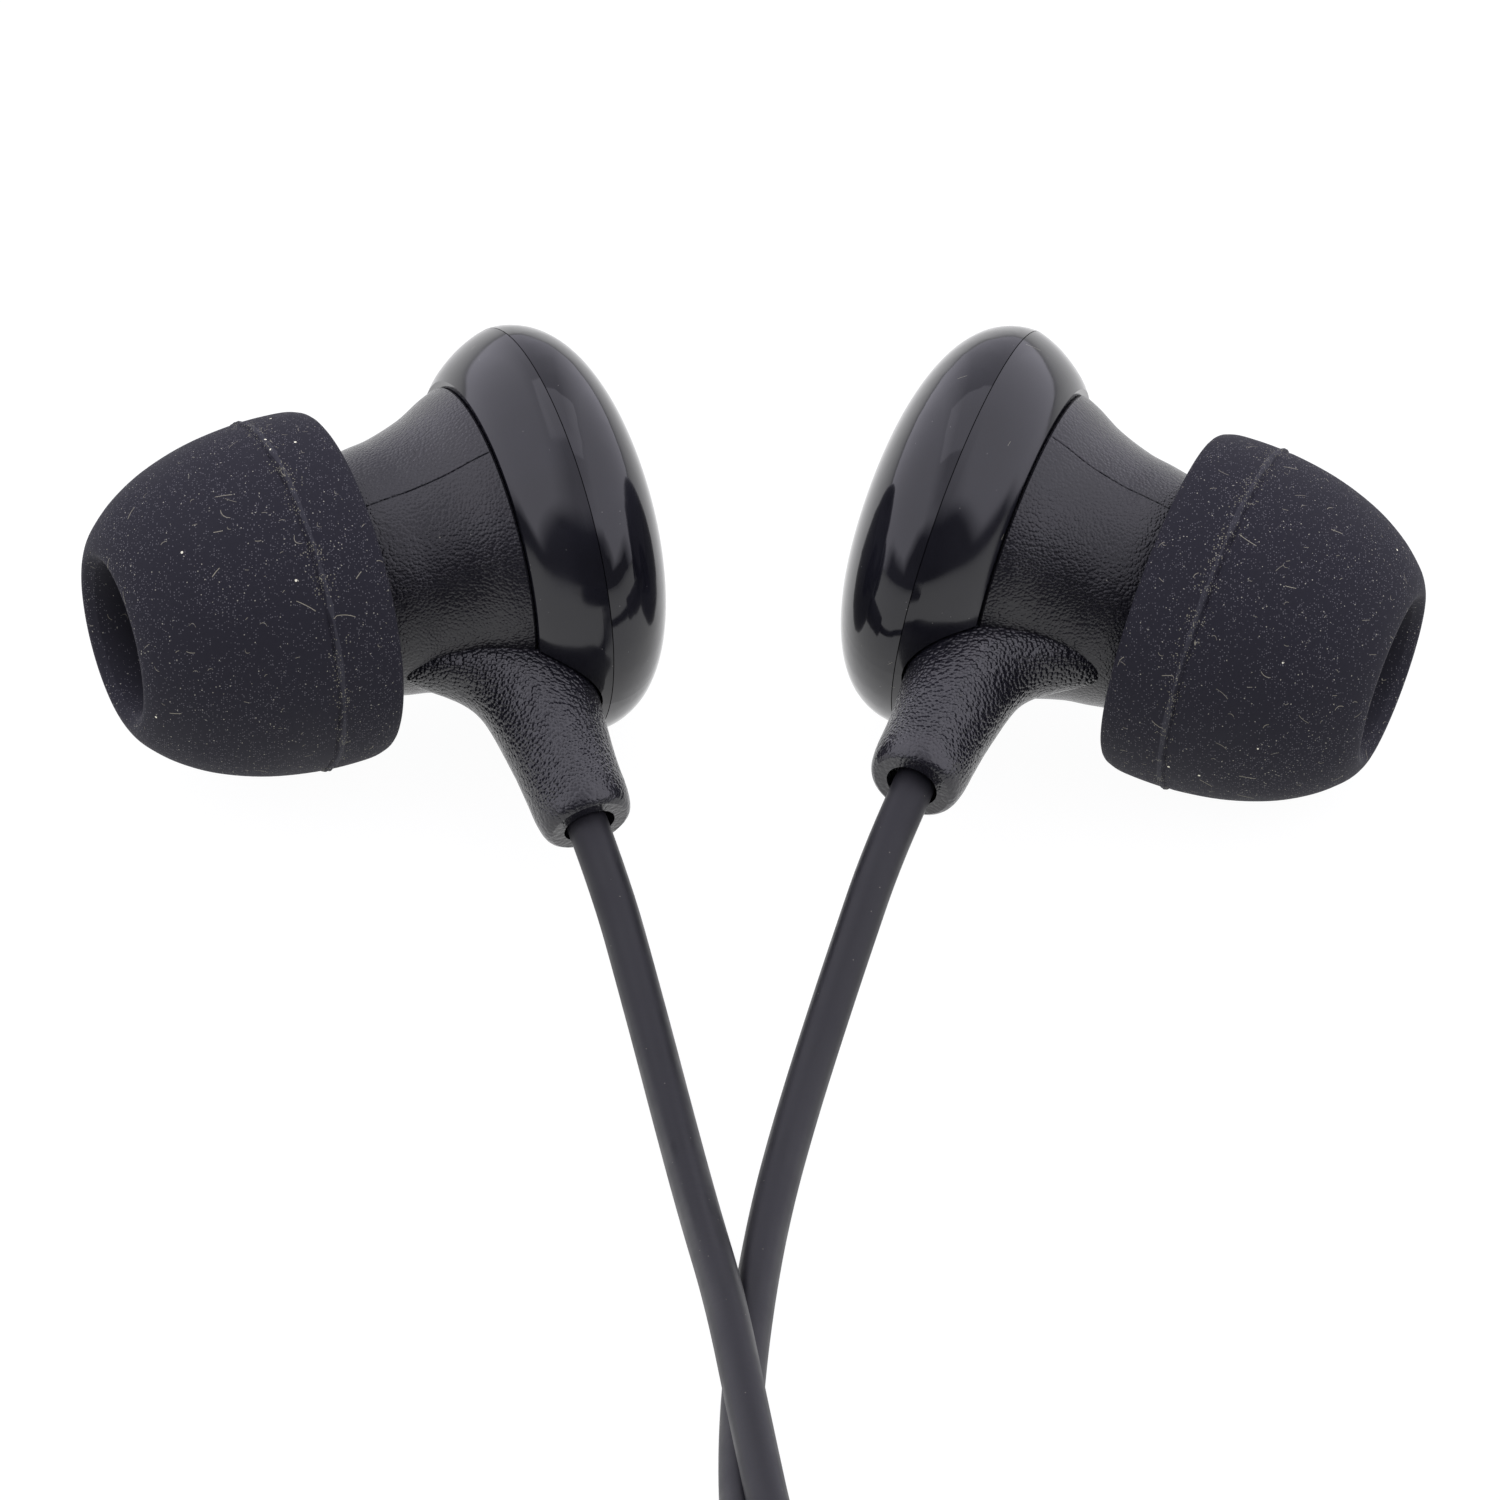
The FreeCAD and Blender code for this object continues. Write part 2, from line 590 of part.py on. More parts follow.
def make_plug_ring():
    """Middle contact: collar on a tube that runs back into the shell."""
    tube_start = SHELL_END - RING_SETBACK
    return turned_polygon((RING_BORE_R, tube_start), (RING_TUBE_R, tube_start), (RING_TUBE_R, RING_START),
                          (BARREL_R, RING_START), (BARREL_R, RING_END), (RING_BORE_R, RING_END))


def make_plug_tip():
    """Front contact: grooved nose on a rod that runs back into the shell."""
    rod_start = SHELL_END - ROD_SETBACK
    return turned_polygon((0, rod_start), (TIP_ROD_R, rod_start), (TIP_ROD_R, TIP_START), (1.7, TIP_START),
                          (1.15, TIP_START + 0.75), (BARREL_R - 0.02, TIP_START + 1.5),
                          (0.75, PLUG_TIP_END - 0.25), (0.35, PLUG_TIP_END), (0, PLUG_TIP_END))


def insulator(inner_r, tube_r, tube_start, collar_start, collar_end):
    """Plastic collar, flush with the contacts, on the tube that insulates the inner contact."""
    return turned_polygon((inner_r, tube_start), (tube_r, tube_start), (tube_r, collar_start),
                          (BARREL_R, collar_start), (BARREL_R, collar_end), (inner_r, collar_end))


def make_plug_insulators():
    """Two plastic collars with the tubes that keep the contacts apart."""
    rear = insulator(RING_TUBE_R + INSULATION_GAP, SLEEVE_BORE_R - INSULATION_GAP,
                     SHELL_END - REAR_INSULATION_SETBACK, SLEEVE_END, RING_START)
    front = insulator(TIP_ROD_R + INSULATION_GAP, RING_BORE_R - INSULATION_GAP,
                      SHELL_END - FRONT_INSULATION_SETBACK, RING_END, TIP_START)
    return Part.makeCompound([rear, front])


# ---- write every node ----------------------------------------------------------------
EARPHONE_NODES = {
    "ear_tip": make_ear_tip,
    "front_housing": make_front_housing,
    "bezel_ring": make_bezel_ring,
    "back_cover": make_back_cover,
    "cord_stem": make_stem,
    "nozzle_screen": make_nozzle_screen,
    "driver_gasket": make_driver_gasket,
    "driver_grille": make_driver_grille,
    "driver_frame": make_driver_frame,
    "diaphragm": make_diaphragm,
    "voice_coil": make_voice_coil,
    "top_plate": make_top_plate,
    "magnet": make_magnet,
    "yoke": make_yoke,
    "damping_ring": make_damping_ring,
    "terminal_board": make_terminal_board,
    "lead_wires": make_lead_wires,
    "cord_anchor": make_cord_anchor,
}
PLUG_NODES = {
    "plug_boot": make_plug_boot,
    "plug_shell": make_plug_shell,
    "plug_sleeve": make_plug_sleeve,
    "plug_ring": make_plug_ring,
    "plug_tip": make_plug_tip,
    "plug_insulators": make_plug_insulators,
}


def write(node, shape):
    """Write one node's STEP file."""
    shape.exportStep(f"{PARTS_FOLDER}/{node}.step")


def placed(shape, placement):
    """Copy of a shape at a placement."""
    copy = shape.copy()
    copy.transformShape(placement.toMatrix())
    return copy


def main():
    os.makedirs(PARTS_FOLDER, exist_ok=True)
    poses = [(pose, earphone_placement(pose)) for pose in (LEFT, RIGHT)]
    for node, make in EARPHONE_NODES.items():
        shape = make()
        for pose, placement in poses:
            write(f"{pose['name']}_{node}", placed(shape, placement))

    left_points = cord_points(poses[0][1], LEFT_FIRST_BEND, LEFT_ROUTE)
    right_points = cord_points(poses[1][1], RIGHT_FIRST_BEND, RIGHT_ROUTE)
    write("left_cord", make_cord("left_cord", left_points, CORD_D))
    write("right_cord", make_cord("right_cord", right_points, CORD_D))
    main_points = [Vector(*point) for point in MAIN_ROUTE]
    write("main_cord", make_cord("main_cord", main_points, MAIN_CORD_D))
    write("cord_coil", make_coil())
    write("cord_tie", make_tie())
    write("y_split", make_split())

    plug_place = FreeCAD.Placement(Vector(PLUG_START_X, PLUG_AXIS_Y, PLUG_AXIS_Z),
                                   FreeCAD.Rotation(Vector(0, 0, 1), Vector(-1, 0, 0)))
    for node, make in PLUG_NODES.items():
        write(node, placed(make(), plug_place))


main()
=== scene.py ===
"""Wired earphones: finishes, cords, ear tips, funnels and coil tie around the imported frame.

Sizes are in millimetres, and MM turns them into Blender's metres. Each earphone has its own
frame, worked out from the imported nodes: +Z runs along its axis from the mouth of the ear tip
to the back cover, +X runs along the stem, and r is the distance from the axis.
"""
import json
import math

import bpy
from mathutils import Matrix, Vector, noise


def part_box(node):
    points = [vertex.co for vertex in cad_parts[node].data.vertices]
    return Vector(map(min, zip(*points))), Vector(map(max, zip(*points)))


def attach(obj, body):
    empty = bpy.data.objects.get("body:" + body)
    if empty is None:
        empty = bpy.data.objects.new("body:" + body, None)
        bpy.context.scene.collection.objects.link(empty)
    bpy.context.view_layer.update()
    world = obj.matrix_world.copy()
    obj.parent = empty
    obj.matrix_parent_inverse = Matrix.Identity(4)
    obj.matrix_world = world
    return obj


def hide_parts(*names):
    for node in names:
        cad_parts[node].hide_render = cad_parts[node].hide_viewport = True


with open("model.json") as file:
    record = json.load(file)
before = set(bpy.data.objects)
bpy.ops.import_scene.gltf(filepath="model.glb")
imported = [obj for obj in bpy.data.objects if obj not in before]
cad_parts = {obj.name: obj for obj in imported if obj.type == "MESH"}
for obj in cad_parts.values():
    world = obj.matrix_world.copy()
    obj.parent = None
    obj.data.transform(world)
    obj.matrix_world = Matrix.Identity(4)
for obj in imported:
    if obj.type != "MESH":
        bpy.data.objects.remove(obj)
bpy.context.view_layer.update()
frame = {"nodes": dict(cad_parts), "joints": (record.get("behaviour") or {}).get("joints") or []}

MM = 0.001
SHARP_ANGLE = math.radians(35)
TIP_COLUMNS = 420           # points round an ear tip
FUNNEL_COLUMNS = 240
TIE_ROWS = 96               # points round the bundle, and round the band's section
TIE_SECTION_POINTS = 28

# ---- places on an earphone, along its axis (z) and along the stem (x) ---------------
MAGNET_MIDDLE_Z = 15.10
ANCHOR_MIDDLE_X = 7.90
STEM_Z = 12.90
STEM_RIM_X = 10.3           # the stem's coarse texture stops here, short of its end
CORD_START_X = 7.0

# ---- ear tip: outlines as (r, z) ------------------------------------------------------
TIP_OUTSIDE = [(2.65, 0.15), (3.0, -0.16), (3.45, -0.03), (3.95, 0.36), (4.64, 1.2), (5.28, 2.4), (5.78, 4.0),
               (6.03, 5.8), (6.03, 7.3), (5.90, 7.90), (5.76, 8.11)]
TIP_RIM = [(5.66, 8.17), (5.54, 8.18), (5.43, 8.13)]
TIP_INSIDE = [(5.38, 8.00), (5.42, 7.2), (5.42, 5.8), (5.15, 4.2), (4.65, 3.0), (4.0, 2.35), (3.45, 2.2),
              (3.10, 2.7)]
TIP_SLEEVE = [(3.10, 7.42), (3.02, 7.50), (2.48, 7.50), (2.40, 7.42), (2.40, 1.60)]
TIP_SLEEVE_R = 2.4
MOULD_LINE_Z = 5.9          # raised line that the tip's mould left
MOULD_LINE_HEIGHT = 0.06
MOULD_LINE_WIDTH = 0.08
MOULD_LINE_WANDER = 0.03
MOULD_LINE_UNEVEN = 0.9     # share by which its height varies
MOULD_GROOVE_DEPTH = 0.05   # shallow groove on the line's mouth side
MOULD_GROOVE_WIDTH = 0.05
MOULD_GROOVE_SETBACK = 0.16
MOULD_LINE_REACH = 0.4      # the line and its groove end this far from the line's middle
TIP_SKIRT_R = 5.7           # only the skirt's outside, beyond this radius, has the line

# ---- front housing ---------------------------------------------------------------------
NOZZLE = [(1.60, 3.2), (1.95, 3.2), (1.95, 2.9), (2.15, 2.9), (2.35, 3.15), (2.35, 4.2),
          (2.10, 4.6), (2.10, 7.85), (3.85, 7.85)]
FUNNEL = [(4.05, 8.05), (4.28, 9.3), (4.42, 10.2), (4.80, 11.4), (5.28, 12.35), (5.52, 12.93)]
COLLAR = [(5.49, 13.0), (5.10, 13.0), (5.10, 14.1), (4.65, 14.1), (4.65, 12.9), (4.15, 12.9), (4.15, 12.3),
          (3.45, 10.6), (3.15, 9.3), (1.60, 8.2)]
PARTING_DEG = 95.0          # the halves of the mould met this far round from the stem
PARTING_DEPTH = 0.035
PARTING_WIDTH = 0.022
PARTING_STEPS = 7           # fine steps of the mesh on each side of a groove
WIRE_SLOT_MIDDLE = (5.1, 0, 13.4)
WIRE_SLOT_SIZE = (1.6, 1.6, 2.0)

# ---- cords -----------------------------------------------------------------------------
CORD_D = 1.42
MAIN_CORD_D = 1.90
LEFT_FIRST_BEND = 12.8
LEFT_ROUTE = [
    (-3.62, -15.2, 0.95),
    (-2.60, -20.8, 0.71),
    (-1.80, -25.9, 1.30),
    (-0.93, -31.2, 2.15),
    (-0.15, -36.9, 2.15),
    (0.85, -42.9, 1.30),
    (2.60, -48.4, 0.72),
    (4.30, -53.0, 0.71),
    (5.30, -57.4, 0.71),
]
RIGHT_FIRST_BEND = 12.9
RIGHT_ROUTE = [
    (2.95, -15.6, 2.95),
    (1.42, -20.6, 1.00),
    (0.49, -25.5, 0.71),
    (-0.15, -31.0, 0.71),
    (-0.50, -36.6, 0.71),
    (-0.35, -42.4, 0.71),
    (0.60, -48.2, 0.71),
    (2.20, -53.4, 0.71),
    (3.40, -57.9, 0.71),
]
MAIN_ROUTE = [
    (7.75, -71.2, 1.50),
    (8.05, -76.1, 1.05),
    (6.80, -80.9, 0.95),
    (3.70, -84.4, 1.45),
    (-0.60, -85.9, 2.75),
    (-5.20, -85.9, 2.75),
]

# The coil: the two thin cords lie in a flat layer that winds inwards, then climb side
# by side at the inside. The main cord goes down, up and down again on the flat layer.
COIL_CENTRE = (-7.0, -66.0)
POINTS_PER_TURN = 16
TIE_AT_DEG = 215.0
TIE_LIFT = 0.5              # the turns lie this much higher over the tie
TIE_LIFT_SPREAD_DEG = 30.0
TIE_THICK = 0.44
TIE_HALF_WIDTH = 1.7
FLAT_START_DEG = 35.0
FLAT_START_R = {"left": 14.60, "right": 13.18}
CLIMB_R = 7.60
CLIMB_PITCH = 2 * CORD_D
MAIN_RADII = (9.3, 11.2, 13.1)
MAIN_BOTTOM_Z = CORD_D + MAIN_CORD_D / 2 + 0.03
MAIN_TOP_Z = 8.35
# the cords at the corners of the bundle that the tie goes round: (r, z, radius)
TIE_CORNERS = [
    (CLIMB_R, CORD_D / 2 + TIE_LIFT, CORD_D / 2),
    (CLIMB_R, 8.60 + TIE_LIFT, CORD_D / 2),
    (FLAT_START_R["right"], CORD_D / 2 + TIE_LIFT, CORD_D / 2),
    (MAIN_RADII[2] + 0.1, MAIN_BOTTOM_Z + TIE_LIFT, MAIN_CORD_D / 2),
    (MAIN_RADII[2], MAIN_TOP_Z + TIE_LIFT, MAIN_CORD_D / 2),
]

SPLIT_AT_DEG = 290.0
SPLIT_RADIAL = 10.6
SPLIT_HALF_LENGTH = 5.0
SPLIT_HOLE_OFFSET = 0.78
SPLIT_CORD_Z = 10.7
SPLIT_HOLE_DEPTH = 2.0


# ---- places and meshes -------------------------------------------------------------------
def metres(point):
    """Point in millimetres as a vector in metres."""
    return Vector(point) * MM


def middle(node):
    """Middle of a CAD node's box."""
    low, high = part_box(node)
    return (low + high) / 2


def earphone_matrix(side):
    """Place of an earphone: its own frame, in metres, in the row frame."""
    joint = next(j for j in frame["joints"] if j["name"] == f"{side}_tip_pull")
    back = -Vector(joint["axis"]).normalized()
    origin = middle(f"{side}_magnet") - back * MAGNET_MIDDLE_Z * MM
    stem = (middle(f"{side}_cord_anchor") - origin - back * STEM_Z * MM).normalized()
    across = back.cross(stem)
    matrix = Matrix((stem, across, back)).transposed().to_4x4()
    matrix.translation = origin
    return matrix


def smooth_line(points, per_span):
    """Points along a smooth curve through the given (r, z) points."""
    line = []
    extended = [points[0], *points, points[-1]]
    for i in range(len(points) - 1):
        a, b, c, d = (Vector(p) for p in extended[i:i + 4])
        for step in range(per_span):
            t = step / per_span
            line.append(0.5 * ((2 * b) + (c - a) * t + (2 * a - 5 * b + 4 * c - d) * t * t
                               + (3 * b - a - 3 * c + d) * t ** 3))
    line.append(Vector(points[-1]))
    return [tuple(p) for p in line]


def refined(line, low, high, spacing):
    """A (r, z) line with more points where z lies between low and high."""
    points = [line[0]]
    for (r0, z0), (r1, z1) in zip(line, line[1:]):
        inside = low < (z0 + z1) / 2 < high
        steps = max(1, round(abs(z1 - z0) / spacing)) if inside else 1
        points += [(r0 + (r1 - r0) * k / steps, z0 + (z1 - z0) * k / steps) for k in range(1, steps + 1)]
    return points


def mesh_piece(name, vertices, faces):
    """New smooth object, with sharp edges where its faces meet at a steep angle."""
    mesh = bpy.data.meshes.new(name)
    mesh.from_pydata(vertices, [], faces)
    mesh.validate()
    mesh.shade_smooth()
    mesh.set_sharp_from_angle(angle=SHARP_ANGLE)
    piece = bpy.data.objects.new(name, mesh)
    bpy.context.scene.collection.objects.link(piece)
    return piece


def grid_faces(columns, rows):
    """Faces of a closed grid that joins up both ways round."""
    faces = []
    for i in range(columns):
        here = i * rows
        following = ((i + 1) % columns) * rows
        for j in range(rows):
            k = (j + 1) % rows
            faces.append((here + j, following + j, following + k, here + k))
    return faces


def lathe(name, profile, matrix, angles, shift):
    """Closed profile of (r, z) points, turned about an earphone's axis.

    shift(angle, r, z) gives how far a point moves outwards."""
    vertices = []
    for angle in angles:
        for r, z in profile:
            reach = r + shift(angle, r, z)
            vertices.append(matrix @ metres((reach * math.cos(angle), reach * math.sin(angle), z)))
    return mesh_piece(name, vertices, grid_faces(len(angles), len(profile)))


def even_angles(count):
    return [2 * math.pi * step / count for step in range(count)]


def cut_box(piece, matrix, place, size):
    """Cut a box, given in an earphone's own frame, out of a piece."""
    corners = []
    for x in (-0.5, 0.5):
        for y in (-0.5, 0.5):
            for z in (-0.5, 0.5):
                corner = Vector(place) + Vector((x * size[0], y * size[1], z * size[2]))
                corners.append(matrix @ metres(corner))
    faces = [(0, 1, 3, 2), (4, 6, 7, 5), (0, 4, 5, 1), (2, 3, 7, 6), (0, 2, 6, 4), (1, 5, 7, 3)]
    blade = mesh_piece("blade", corners, faces)
    cut = piece.modifiers.new("cut", "BOOLEAN")
    cut.operation = "DIFFERENCE"
    cut.solver = "EXACT"
    cut.object = blade
    result = bpy.data.meshes.new_from_object(piece.evaluated_get(bpy.context.evaluated_depsgraph_get()))
    piece.modifiers.remove(cut)
    piece.data = result
    bpy.data.objects.remove(blade)


# ---- cords -----------------------------------------------------------------------------
def coil_point(degrees, radius, z):
    """Point of the coil; the turns rise a little over the tie beneath them."""
    angle = math.radians(degrees)
    from_tie = (degrees - TIE_AT_DEG + 180) % 360 - 180
    lift = TIE_LIFT * math.exp(-(from_tie / TIE_LIFT_SPREAD_DEG) ** 2)
    return (COIL_CENTRE[0] + radius * math.cos(angle), COIL_CENTRE[1] + radius * math.sin(angle), z + lift)


def wind(stations):
    """Points of turns that pass (degrees, radius, z) stations, clockwise seen from above."""
    points = []
    for (a0, r0, z0), (a1, r1, z1) in zip(stations, stations[1:]):
        steps = max(1, round((a0 - a1) * POINTS_PER_TURN / 360))
        for step in range(steps):
            t = step / steps
            points.append(coil_point(a0 + (a1 - a0) * t, r0 + (r1 - r0) * t, z0 + (z1 - z0) * t))
    points.append(coil_point(*stations[-1]))
    return points


def arc(centre, radius, start_deg, end_deg, z_start, z_end, steps):
    """Points of a clockwise arc that changes height."""
    points = []
    for step in range(steps + 1):
        t = step / steps
        angle = math.radians(start_deg + (end_deg - start_deg) * t)
        points.append((centre[0] + radius * math.cos(angle), centre[1] + radius * math.sin(angle),
                       z_start + (z_end - z_start) * t))
    return points


def split_point(along, across):
    """Point in the Y split; along runs from its two cord holes to its single one."""
    angle = math.radians(SPLIT_AT_DEG)
    turn = math.radians(SPLIT_AT_DEG - 90)
    x = COIL_CENTRE[0] + SPLIT_RADIAL * math.cos(angle)
    y = COIL_CENTRE[1] + SPLIT_RADIAL * math.sin(angle)
    return (x + along * math.cos(turn) - across * math.sin(turn),
            y + along * math.sin(turn) + across * math.cos(turn), SPLIT_CORD_Z)


def lead_centre(hole, radius):
    """Centre of the clockwise arc of a lead that runs straight into, or out of, a hole."""
    turn = math.radians(SPLIT_AT_DEG - 90)
    return (hole[0] + radius * math.sin(turn), hole[1] - radius * math.cos(turn))


def flat_turns(side):
    """Stations of the flat layer, from the first turn to the foot of the climb."""
    start_r = FLAT_START_R[side]
    lead_in_deg = 20.0
    pitch_per_degree = CLIMB_PITCH / 360
    end = FLAT_START_DEG - (start_r - CLIMB_R) / pitch_per_degree
    return [(FLAT_START_DEG - lead_in_deg, start_r - lead_in_deg * pitch_per_degree, CORD_D / 2),
            (end, CLIMB_R, CORD_D / 2)]


def left_coil():
    """Turns of the left cord and its lead into the inner hole of the Y split."""
    stations = flat_turns("left")
    foot = stations[-1][0]
    climb_deg = 827.6
    top = foot - climb_deg
    stations.append((top, CLIMB_R, CORD_D / 2 + climb_deg / 360 * CLIMB_PITCH))
    for degrees, z in ((20, 7.9), (35, 8.5), (48, 9.0), (60, 9.5), (70, 9.95)):
        stations.append((top - degrees, CLIMB_R, z))
    hole = split_point(-SPLIT_HALF_LENGTH, -SPLIT_HOLE_OFFSET)
    radius = 5.5
    lead = arc(lead_centre(hole, radius), radius, 50.6, -70, 10.5, SPLIT_CORD_Z, 6)
    return wind(stations) + lead + [split_point(SPLIT_HOLE_DEPTH - SPLIT_HALF_LENGTH, -SPLIT_HOLE_OFFSET)]


def right_coil():
    """Turns of the right cord and its lead into the outer hole of the Y split."""
    stations = flat_turns("right")
    foot = stations[-1][0]
    for eighth in range(1, 9):
        rise = CORD_D * math.sqrt(1 - (1 - eighth / 8) ** 2)
        stations.append((foot - 180 * eighth / 8, CLIMB_R, CORD_D / 2 + rise))
    climb_deg = 977.6
    top = foot - climb_deg
    stations.append((top, CLIMB_R, CORD_D / 2 + climb_deg / 360 * CLIMB_PITCH))
    stations += [(top - 30, CLIMB_R, 9.2), (top - 60, CLIMB_R, 10.1)]
    hole = split_point(-SPLIT_HALF_LENGTH, SPLIT_HOLE_OFFSET)
    radius = 8.56
    lead = arc(lead_centre(hole, radius), radius, 90, -70, 10.4, SPLIT_CORD_Z, 9)
    return wind(stations) + lead + [split_point(SPLIT_HOLE_DEPTH - SPLIT_HALF_LENGTH, SPLIT_HOLE_OFFSET)]


def main_coil():
    """Turns of the main cord, from the Y split to where it leaves the coil."""
    hole = split_point(SPLIT_HALF_LENGTH, 0)
    radius = 8.0
    centre = lead_centre(hole, radius)
    points = [split_point(SPLIT_HALF_LENGTH - SPLIT_HOLE_DEPTH, 0)]
    points += arc(centre, radius, -70, -154, SPLIT_CORD_Z, 11.3, 5)
    points += arc(centre, radius, -176, -209, 10.9, 10.35, 2)
    inner, between, outer = MAIN_RADII
    stations = [(140, inner, 9.9), (95, inner, MAIN_TOP_Z), (-967, inner, MAIN_BOTTOM_Z),
                (-1046, between, MAIN_BOTTOM_Z), (-2094, between, MAIN_TOP_Z), (-2173, outer, MAIN_TOP_Z),
                (-3220, outer + 0.1, MAIN_BOTTOM_Z + 0.05), (-3235, 14.0, 2.4), (-3248, 15.0, 2.2)]
    return points + wind(stations)


def cord_curve(name, points, diameter):
    """Free cord: one smooth curve with the points as its control points."""
    curve = bpy.data.curves.new(name, "CURVE")
    curve.dimensions = "3D"
    spline = curve.splines.new("NURBS")
    spline.points.add(len(points) - 1)
    for spline_point, point in zip(spline.points, points):
        spline_point.co = (*point, 1.0)
    spline.order_u = 3
    spline.use_endpoint_u = True
    curve.resolution_u = 10
    curve.bevel_depth = diameter / 2
    curve.bevel_resolution = 6
    curve.use_fill_caps = True
    piece = bpy.data.objects.new(name, curve)
    bpy.context.scene.collection.objects.link(piece)
    return piece


def branch_points(side, first_bend, route, coil):
    """Control points of an earphone's cord, from inside its stem to the Y split."""
    matrix = earphone_matrix(side)
    start = matrix @ metres((CORD_START_X, 0, STEM_Z))
    bend = matrix @ metres((first_bend, 0, STEM_Z))
    return [start, bend] + [metres(p) for p in route + coil]


def settle_cord(piece, node, finish):
    """Let a cord stand for its tube and its share of the coil."""
    piece.data.materials.append(finish)
    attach(piece, "root")
    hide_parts(node, "cord_coil")


def make_branch_cord(side, points, finish):
    """Cord from an earphone to the Y split."""
    piece = cord_curve(f"{side}_cord_line", points, CORD_D * MM)
    settle_cord(piece, f"{side}_cord", finish)
    start = earphone_matrix(side) @ metres((CORD_START_X, 0, STEM_Z))


def make_main_cord(finish):
    """Cord from the Y split to the plug."""
    points = [metres(p) for p in main_coil() + MAIN_ROUTE]
    piece = cord_curve("main_cord_line", points, MAIN_CORD_D * MM)
    settle_cord(piece, "main_cord", finish)


def make_cords():
    """The three cords, in one finish."""
    finish = jacket_finish()
    left = branch_points("left", LEFT_FIRST_BEND, LEFT_ROUTE, left_coil())
    make_branch_cord("left", left, finish)
    right = branch_points("right", RIGHT_FIRST_BEND, RIGHT_ROUTE, right_coil())
    make_branch_cord("right", right, finish)
    make_main_cord(finish)


# ---- ear tips, funnels and tie -------------------------------------------------------------
def make_ear_tip(side, seed):
    """Silicone tip with the thin, uneven line that its mould left."""
    outside = refined(smooth_line(TIP_OUTSIDE, 6), MOULD_LINE_Z - 0.35, MOULD_LINE_Z + 0.25, 0.02)
    profile = outside + TIP_RIM + smooth_line(TIP_INSIDE, 5) + TIP_SLEEVE

    def mould_line(angle, r, z):
        if r < TIP_SKIRT_R or abs(z - MOULD_LINE_Z) > MOULD_LINE_REACH:
            return 0
        around = Vector((math.cos(angle), math.sin(angle), 0))
        slow = noise.noise(around * 4 + Vector((0, 0, seed)))
        quick = noise.noise(around * 14 + Vector((0, 0, seed + 5)))
        line_z = MOULD_LINE_Z + MOULD_LINE_WANDER * slow
        uneven = 1 + MOULD_LINE_UNEVEN * quick
        ridge = MOULD_LINE_HEIGHT * math.exp(-((z - line_z) / MOULD_LINE_WIDTH) ** 2)
        from_groove = z - line_z + MOULD_GROOVE_SETBACK
        return uneven * (ridge - MOULD_GROOVE_DEPTH * math.exp(-(from_groove / MOULD_GROOVE_WIDTH) ** 2))

    piece = lathe(f"{side}_tip_skin", profile, earphone_matrix(side), even_angles(TIP_COLUMNS), mould_line)
    piece.data.materials.append(silicone_finish(side))
    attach(piece, f"{side}_tip_body")
    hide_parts(f"{side}_ear_tip")


def make_front_housing(side, finish):
    """Funnel and nozzle, with the fine grooves where the halves of its mould met."""
    profile = NOZZLE + smooth_line(FUNNEL, 10) + COLLAR
    parting = (math.radians(PARTING_DEG), 2 * math.pi - math.radians(PARTING_DEG))
    fine_step = PARTING_WIDTH / 10
    steps = range(-PARTING_STEPS, PARTING_STEPS + 1)
    fine = [line + fine_step * step for line in parting for step in steps]
    clear = (PARTING_STEPS + 1) * fine_step
    coarse = [angle for angle in even_angles(FUNNEL_COLUMNS)
              if all(abs(angle - line) > clear for line in parting)]

    def groove(angle, r, z):
        if r < FUNNEL[0][0] or not FUNNEL[0][1] <= z <= FUNNEL[-1][1]:
            return 0
        gap = min(abs(angle - line) for line in parting) * r
        return -PARTING_DEPTH * math.exp(-(gap / PARTING_WIDTH) ** 2)

    matrix = earphone_matrix(side)
    piece = lathe(f"{side}_funnel_shell", profile, matrix, sorted(fine + coarse), groove)
    cut_box(piece, matrix, WIRE_SLOT_MIDDLE, WIRE_SLOT_SIZE)
    piece.data.materials.clear()
    piece.data.materials.append(finish)
    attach(piece, "root")
    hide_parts(f"{side}_front_housing")


def stretched_outline(corners, count):
    """Outline of a band stretched round (r, z, radius) circles: points with their outward directions."""
    outline = []
    for angle in even_angles(count):
        outwards = Vector((math.cos(angle), math.sin(angle)))
        r, z, radius = max(corners, key=lambda corner: outwards.dot(Vector(corner[:2])) + corner[2])
        outline.append((Vector((r, z)) + outwards * radius, outwards))
    return outline


def signed_power(value, power):
    return math.copysign(abs(value) ** power, value)


def make_tie_band(finish):
    """Soft band with rounded edges, stretched round the coil's turns."""
    outline = stretched_outline(TIE_CORNERS, TIE_ROWS)
    edge = even_angles(TIE_SECTION_POINTS)
    vertices = []
    for place, outwards in outline:
        for turn in edge:
            across = signed_power(math.cos(turn), 0.25)
            share = 0.5 + 0.5 * signed_power(math.sin(turn), 0.5)
            r, z = place + outwards * TIE_THICK * share
            angle = math.radians(TIE_AT_DEG) + across * TIE_HALF_WIDTH / r
            x = COIL_CENTRE[0] + r * math.cos(angle)
            y = COIL_CENTRE[1] + r * math.sin(angle)
            vertices.append(metres((x, y, z)))
    piece = mesh_piece("tie_band", vertices, grid_faces(len(outline), len(edge)))
    piece.data.materials.append(finish)
    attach(piece, "root")
    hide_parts("cord_tie")


# ---- finishes ----------------------------------------------------------------------------
PALE_DUST = (0.25, 0.24, 0.20)
